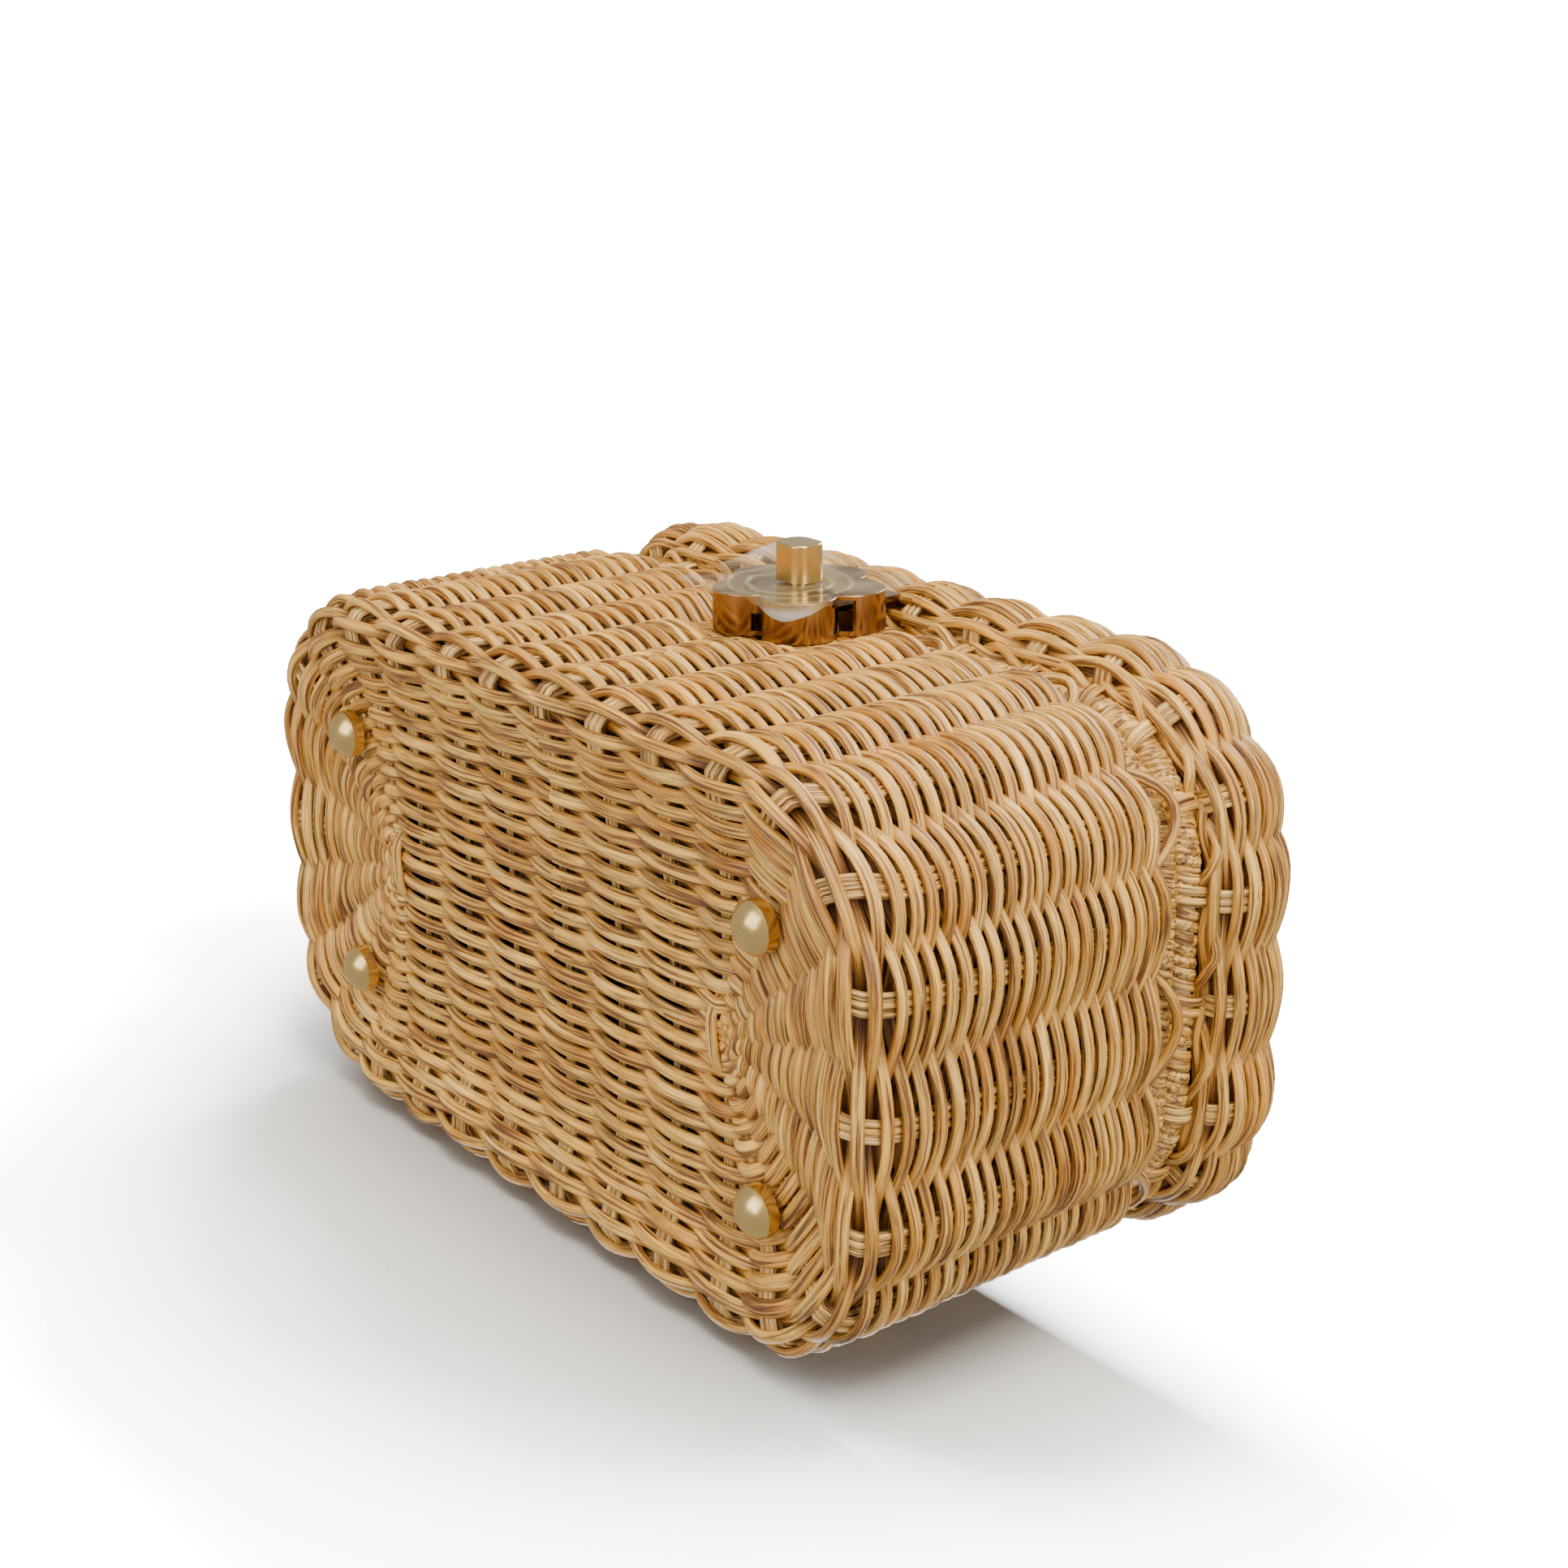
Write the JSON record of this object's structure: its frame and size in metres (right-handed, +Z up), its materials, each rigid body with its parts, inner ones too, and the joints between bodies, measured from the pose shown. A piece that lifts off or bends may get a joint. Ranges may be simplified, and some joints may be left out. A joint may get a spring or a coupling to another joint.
{
  "type": "rattan basket box bag",
  "caption": "Woven rattan box bag with rounded ends, a hinged tray lid, a flower-shaped brass turn clasp and domed feet.",
  "frame": {"origin": "under the middle of the whole bag, clasp and lid included, on the plane that its feet stand on", "axes": "+Z up, +X along the bag's length to the right, the front with the clasp faces -Y and the hinge side +Y"},
  "size_m": [0.213, 0.1356, 0.1144],
  "materials": {
    "rattan": "semi-gloss varnished rattan reed",
    "cane_wrap": "glossy split cane",
    "rim_rod": "plain rod",
    "lining": "matt woven cloth",
    "brass": "brushed, lightly worn",
    "steel": "plain zinc plate",
    "film": "clear creased film"
  },
  "bodies": {
    "basket": {"body_weave": "rattan", "body_rim_rod": "rim_rod", "body_rim_wrap": "cane_wrap", "body_lining": "lining", "foot_front_left": "brass", "foot_front_right": "brass", "foot_rear_left": "brass", "foot_rear_right": "brass", "foot_washers": "steel", "foot_screws": "steel", "clasp_base": "brass", "clasp_case": "brass", "clasp_pillars": "brass", "clasp_backing": "steel", "clasp_screws": "steel", "protective_film": "film", "body_hinge_screws": "steel", "hinge_left_body_leaf": "brass", "hinge_left_pin": "steel", "hinge_right_body_leaf": "brass", "hinge_right_pin": "steel"},
    "lid": {"lid_weave": "rattan", "lid_rim_rod": "rim_rod", "lid_rim_wrap": "cane_wrap", "lid_lining": "lining", "lid_tongue": "brass", "tongue_screws": "steel", "lid_hinge_screws": "steel", "hinge_left_lid_leaf": "brass", "hinge_right_lid_leaf": "brass"},
    "knob": {"turn_knob": "brass", "latch_bar": "steel", "spindle_clip": "steel"}
  },
  "joints": [
    {"name": "lid_hinge", "type": "hinge", "parent": "basket", "child": "lid", "pos_m": [0, 0.0606, 0.0854], "axis": [-1, 0, 0], "range_deg": [0, 100]},
    {"name": "knob_turn", "type": "hinge", "parent": "basket", "child": "knob", "pos_m": [0, -0.0585, 0.072], "axis": [0, -1, 0], "range_deg": [0, 90]}
  ]
}
